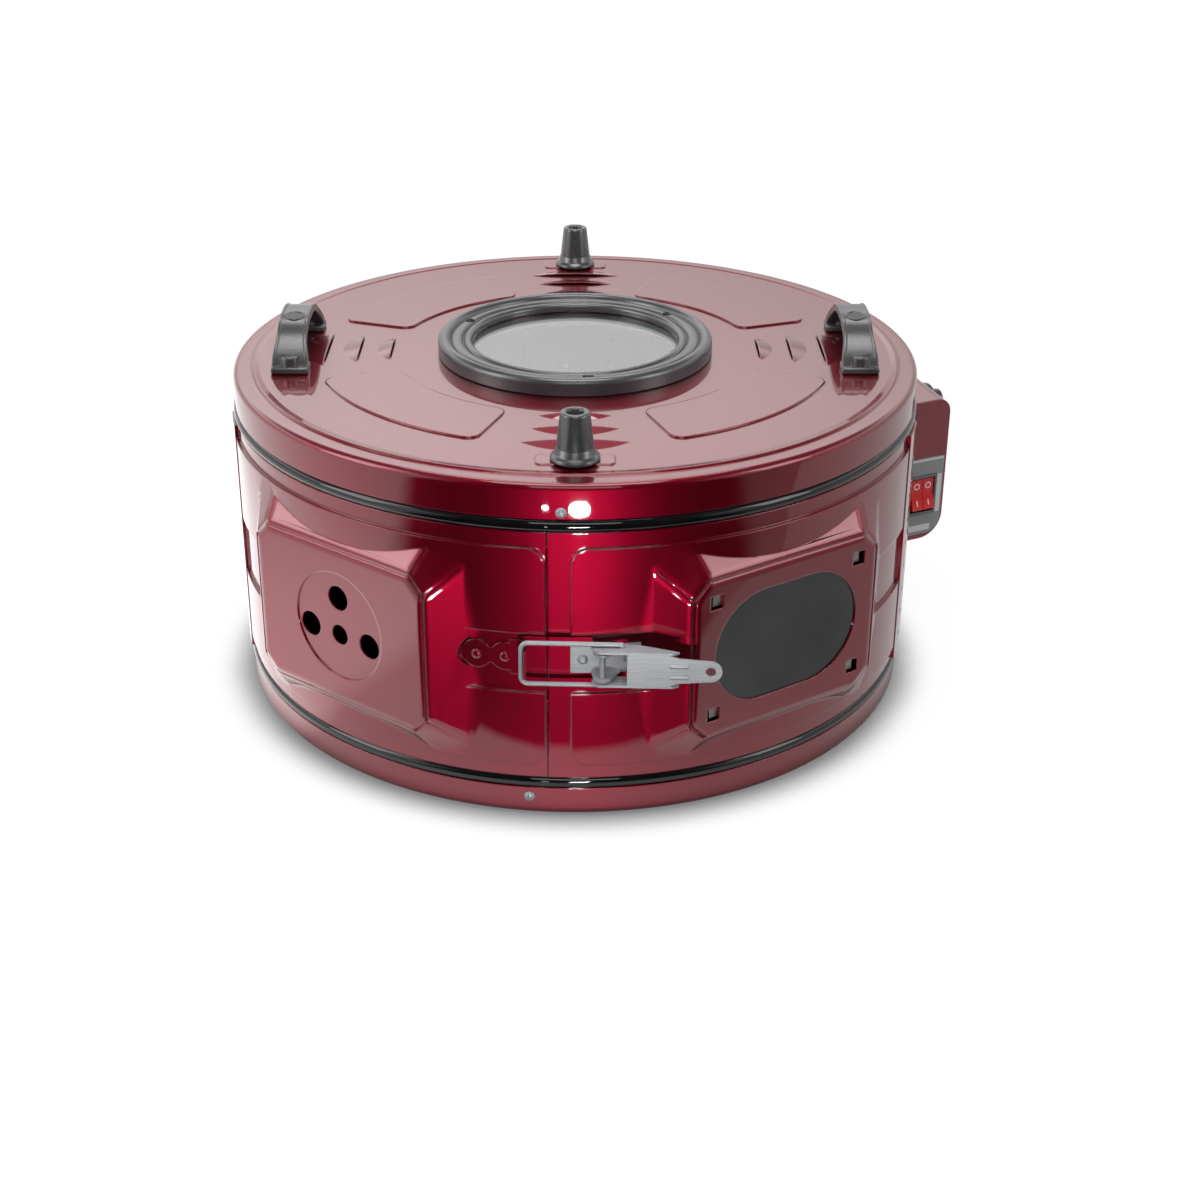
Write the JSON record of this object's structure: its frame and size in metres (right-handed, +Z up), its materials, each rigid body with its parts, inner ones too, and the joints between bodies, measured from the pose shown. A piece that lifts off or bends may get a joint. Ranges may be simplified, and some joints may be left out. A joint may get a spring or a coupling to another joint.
{
  "type": "round electric oven",
  "caption": "Red drum-shaped countertop electric oven with a hinged lid, round lid window, side window, toggle latch and a side switch box.",
  "frame": {"origin": "on the floor under the middle of the drum, on the flat underside of the base", "axes": "+Z up along the drum axis, front with the latch towards -Y, +X to the right where the control box sits"},
  "size_m": [0.5636, 0.5463, 0.2822],
  "materials": {
    "red_paint": "glossy deep red hammer paint",
    "black_enamel": "glossy black enamel",
    "black_plastic": "satin black heat-proof plastic",
    "zinc": "zinc-plated steel",
    "element_steel": "dull tube steel",
    "ceramic": "unglazed white ceramic",
    "dark_glass": "tinted heat-proof glass",
    "clear_glass": "clear heat-proof glass",
    "grey_panel": "printed grey foil without lettering",
    "red_plastic": "glossy red switch plastic"
  },
  "bodies": {
    "oven_body": {"base_shell": "red_paint", "base_pan": "black_enamel", "base_screws": "zinc", "base_element": "element_steel", "base_element_clips": "zinc", "base_bushes": "ceramic", "ring_band": "red_paint", "side_glass": "dark_glass", "catch_plate": "red_paint", "latch_bracket": "zinc", "latch_rivets": "zinc", "latch_pin": "zinc", "hinge_band_leaf": "zinc", "hinge_pin": "zinc", "hinge_rivets": "zinc", "control_box": "red_paint", "box_back_plate": "zinc", "box_screws": "zinc", "switch_panel": "grey_panel", "switch_bezel": "black_plastic", "cable_gland": "black_plastic", "terminal_block": "ceramic"},
    "lid": {"lid_shell": "red_paint", "lid_liner": "black_enamel", "lid_screws": "zinc", "lid_element": "element_steel", "lid_element_clips": "zinc", "lid_bushes": "ceramic", "window_ring": "black_plastic", "window_glass": "clear_glass", "window_sleeve": "zinc", "window_screws": "zinc", "handle_left": "black_plastic", "handle_right": "black_plastic", "handle_screws": "zinc", "foot_front": "black_plastic", "foot_rear": "black_plastic", "foot_screws": "zinc", "hinge_lid_leaf": "zinc", "hinge_lid_rivets": "zinc"},
    "lever": {"latch_lever": "zinc"},
    "loop": {"latch_loop": "zinc"},
    "rocker_a": {"rocker_left": "red_plastic"},
    "rocker_b": {"rocker_right": "red_plastic"}
  },
  "joints": [
    {"name": "lid_hinge", "type": "hinge", "parent": "oven_body", "child": "lid", "pos_m": [0.01156, 0.26475, 0.2182], "axis": [-0.999, 0.0436, 0], "range_deg": [0, 95]},
    {"name": "latch_lever_hinge", "type": "hinge", "parent": "oven_body", "child": "lever", "pos_m": [0.01796, -0.26504, 0.123], "axis": [0, 0, -1], "range_deg": [0, 145]},
    {"name": "latch_loop_pivot", "type": "hinge", "parent": "lever", "child": "loop", "pos_m": [0.03049, -0.26458, 0.123], "axis": [0, 0, 1], "range_deg": [0, 166.75]},
    {"name": "rocker_left_pivot", "type": "hinge", "parent": "oven_body", "child": "rocker_a", "pos_m": [0.27567, 0.03689, 0.1135], "axis": [0.9064, 0.4223, 0], "range_deg": [0, 18]},
    {"name": "rocker_right_pivot", "type": "hinge", "parent": "oven_body", "child": "rocker_b", "pos_m": [0.27567, 0.03689, 0.1135], "axis": [0.9064, 0.4223, 0], "range_deg": [0, 18]}
  ],
  "couplings": [
    {"joint": "latch_loop_pivot", "follows": "latch_lever_hinge", "ratio": 1.15}
  ]
}
